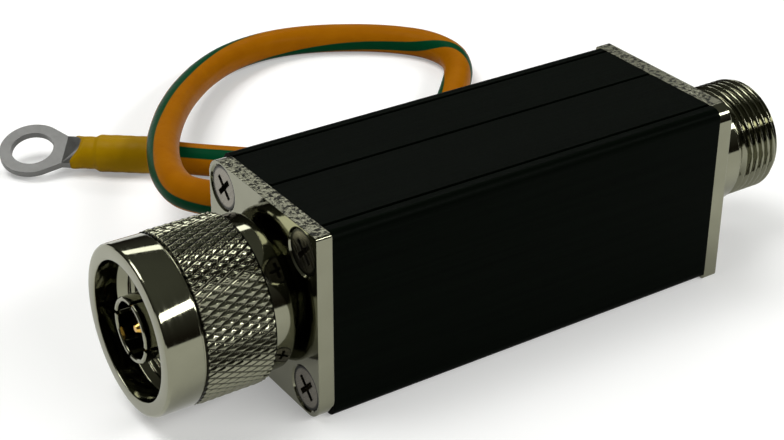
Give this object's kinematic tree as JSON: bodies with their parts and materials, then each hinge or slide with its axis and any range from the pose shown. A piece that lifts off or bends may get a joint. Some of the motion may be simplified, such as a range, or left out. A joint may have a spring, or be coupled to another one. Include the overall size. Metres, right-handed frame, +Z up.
{
  "type": "coaxial lightning arrestor",
  "caption": "Coaxial lightning arrestor: square black extruded housing with flanged threaded plug and jack, captive knurled nut, and earth lead with ring terminal.",
  "frame": {"origin": "centre of the housing's bottom face", "axes": "+X along the coaxial line towards the jack, +Y towards the side that the earth lead leaves, +Z up"},
  "size_m": [0.0965, 0.0989, 0.0254],
  "materials": {
    "black_anodised": "black anodised extrusion, satin",
    "nickel": "nickel plated brass, bright turned",
    "gold": "gold plated brass",
    "raw_brass": "bright brass",
    "copper": "bare stranded copper",
    "bead_plastic": "white fluoropolymer bead",
    "black_rubber": "moulded rubber",
    "red_rubber": "moulded silicone rubber",
    "ceramic": "fired alumina",
    "screw_steel": "nickel plated steel",
    "lead_cover": "extruded PVC, yellow with a green stripe",
    "yellow_sleeve": "heat-shrunk polyolefin",
    "tinned_copper": "tinned copper"
  },
  "bodies": {
    "arrestor": {"housing_extrusion": "black_anodised", "plug_body": "nickel", "plug_outer_contact": "nickel", "plug_gasket": "red_rubber", "plug_insulator": "bead_plastic", "plug_centre_pin": "gold", "plug_flange_screws": "screw_steel", "nut_snap_ring": "screw_steel", "jack_body": "nickel", "jack_insulator": "bead_plastic", "jack_centre_socket": "gold", "jack_flange_screws": "screw_steel", "inner_conductor": "raw_brass", "line_clip": "raw_brass", "gas_tube_line_electrode": "screw_steel", "gas_tube_ceramic": "ceramic", "gas_tube_earth_electrode": "screw_steel", "earth_bracket": "raw_brass", "bracket_screws": "screw_steel", "earth_bush": "raw_brass", "lead_core": "copper", "lead_grommet": "black_rubber", "earth_lead": "lead_cover", "terminal_sleeve": "yellow_sleeve", "ring_terminal": "tinned_copper"},
    "nut": {"coupling_nut": "nickel"}
  },
  "joints": [
    {"name": "nut_spin", "type": "hinge", "parent": "arrestor", "child": "nut", "pos_m": [-0.0414, 0, 0.0127], "axis": [1, 0, 0], "continuous": true}
  ]
}
